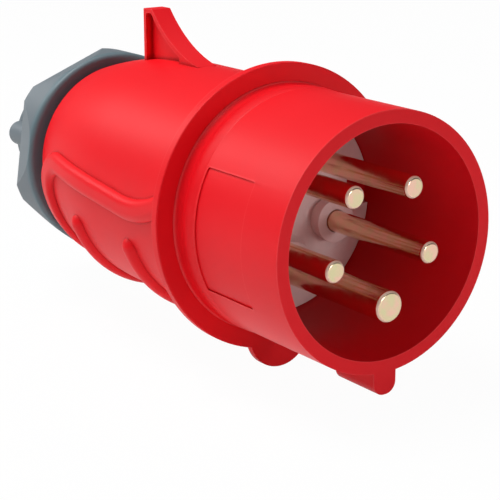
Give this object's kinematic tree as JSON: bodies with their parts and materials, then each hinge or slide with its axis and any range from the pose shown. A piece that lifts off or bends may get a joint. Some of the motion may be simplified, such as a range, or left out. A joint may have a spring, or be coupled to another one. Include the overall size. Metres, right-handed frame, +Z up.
{
  "type": "industrial pin and sleeve plug",
  "caption": "Industrial plug: round sleeve with a bottom key round five pins, flange, waisted grip housing with a latch hook on top, and a hexagonal cable gland nut.",
  "frame": {"origin": "on the mating axis at the plane of the sleeve's rim", "axes": "+X out of the sleeve's mouth along the mating axis, +Z up with the hook on top and the key below"},
  "size_m": [0.1463, 0.0666, 0.0786],
  "materials": {
    "red_shell": "smooth moulded, satin gloss",
    "grey_insert": "moulded",
    "grey_nut": "fine satin",
    "pin_metal": "nickel plated, bright",
    "screw_steel": "zinc plated",
    "black_rubber": "soft",
    "cage_plastic": "moulded"
  },
  "bodies": {
    "front": {"sleeve_shell": "red_shell", "contact_carrier": "grey_insert", "terminal_cover": "grey_insert", "seal_ring": "black_rubber", "carrier_clip": "screw_steel", "cover_screw": "screw_steel", "pin_earth": "pin_metal", "terminal_screw_earth": "screw_steel", "pin_l1": "pin_metal", "terminal_screw_l1": "screw_steel", "pin_l2": "pin_metal", "terminal_screw_l2": "screw_steel", "pin_l3": "pin_metal", "terminal_screw_l3": "screw_steel", "pin_neutral": "pin_metal", "terminal_screw_neutral": "screw_steel"},
    "housing": {"rear_housing": "red_shell", "cable_grommet": "black_rubber"},
    "cage": {"clamp_cage": "cage_plastic"},
    "nut": {"gland_nut": "grey_nut"}
  },
  "joints": [
    {"name": "housing_turn", "type": "hinge", "parent": "front", "child": "housing", "pos_m": [-0.047, 0, 0], "axis": [1, 0, 0], "range_deg": [0, 30]},
    {"name": "gland_slide", "type": "slide", "parent": "housing", "child": "cage", "axis": [-1, 0, 0], "range_m": [0, 0.009]},
    {"name": "gland_turn", "type": "hinge", "parent": "cage", "child": "nut", "pos_m": [-0.12, 0, 0], "axis": [-1, 0, 0], "range_deg": [0, 1080]}
  ],
  "couplings": [
    {"joint": "gland_slide", "follows": "gland_turn", "m_per_rad": 0.000477}
  ]
}
